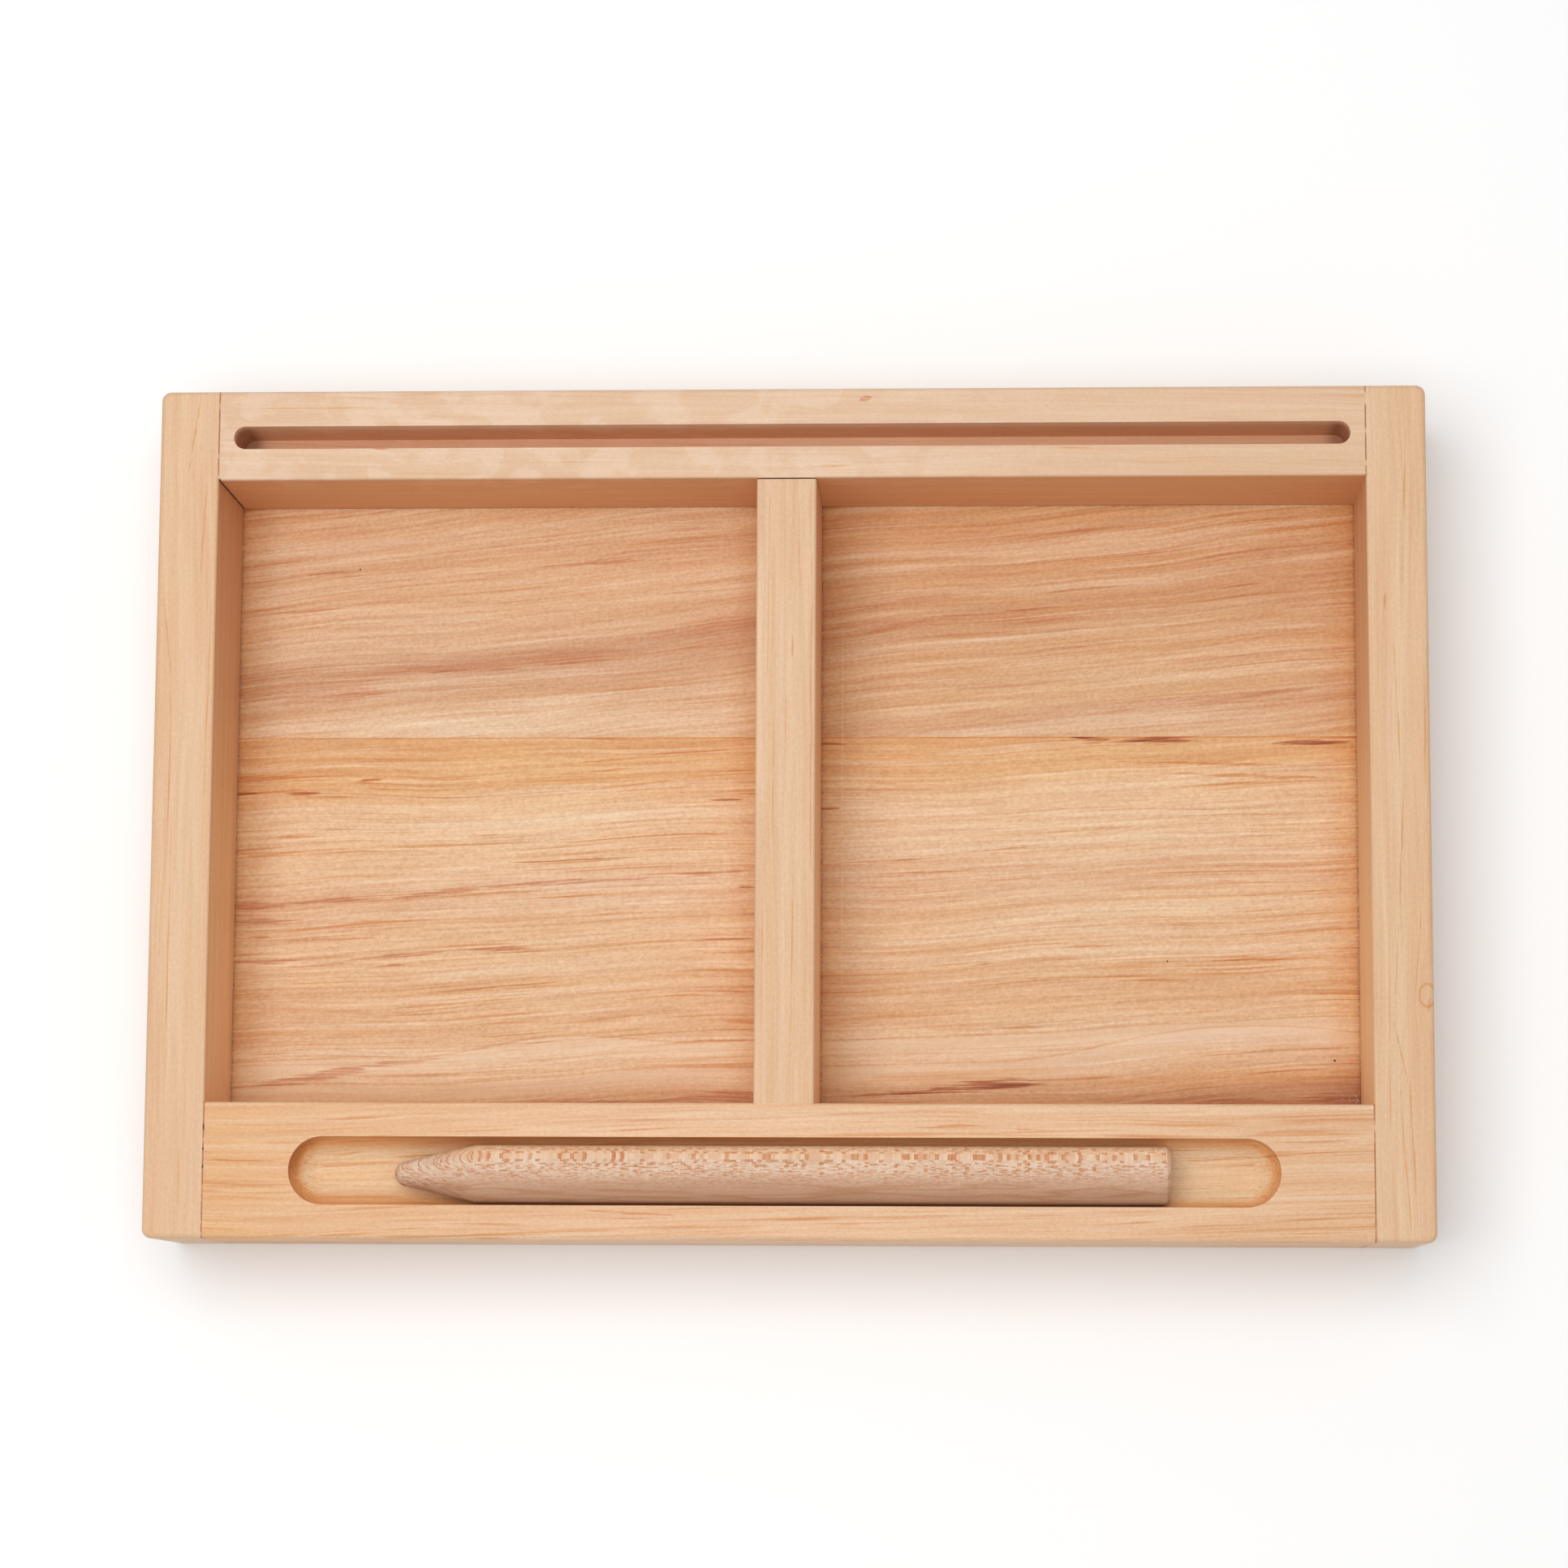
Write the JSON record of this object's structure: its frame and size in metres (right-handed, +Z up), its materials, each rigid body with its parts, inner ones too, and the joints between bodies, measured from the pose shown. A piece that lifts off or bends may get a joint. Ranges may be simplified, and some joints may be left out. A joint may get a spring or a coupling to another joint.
{
  "type": "drawer organizer tray",
  "caption": "Shallow solid-wood drawer tray: compartments either side of a divider, a card slot in the back rail, and a pen groove in the front rail holding a loose round wooden stylus.",
  "frame": {"origin": "on the surface that the tray stands on, under the middle of the tray", "axes": "+X runs to the right along the long rails, +Y from the front rail (pen groove) to the back rail (card slot), +Z up"},
  "size_m": [0.34, 0.228, 0.0528],
  "materials": {
    "side_rail_wood": "oiled satin alder, grain along the rail",
    "back_rail_wood": "oiled satin alder with figured blotches",
    "front_rail_wood": "oiled satin alder, slightly orange",
    "divider_wood": "oiled satin alder, grain along the divider",
    "floor_wood_back": "oiled satin, pinkish with slanting streaks",
    "floor_wood_front": "oiled satin, orange with fine red streaks",
    "stylus_wood": "matte, raw, lace-figured",
    "dowel_wood": "raw beech"
  },
  "bodies": {
    "tray": {"left_side_rail": "side_rail_wood", "right_side_rail": "side_rail_wood", "back_rail": "back_rail_wood", "front_rail": "front_rail_wood", "centre_divider": "divider_wood", "bottom_board_back": "floor_wood_back", "bottom_board_front": "floor_wood_front", "front_left_dowels": "dowel_wood", "front_right_dowels": "dowel_wood", "back_left_dowels": "dowel_wood", "back_right_dowels": "dowel_wood", "divider_dowels": "dowel_wood"},
    "stylus": {"stylus": "stylus_wood"}
  },
  "joints": [
    {"name": "stylus_lift", "type": "slide", "parent": "tray", "child": "stylus", "axis": [0, 0, 1], "range_m": [0, 0.06]}
  ]
}
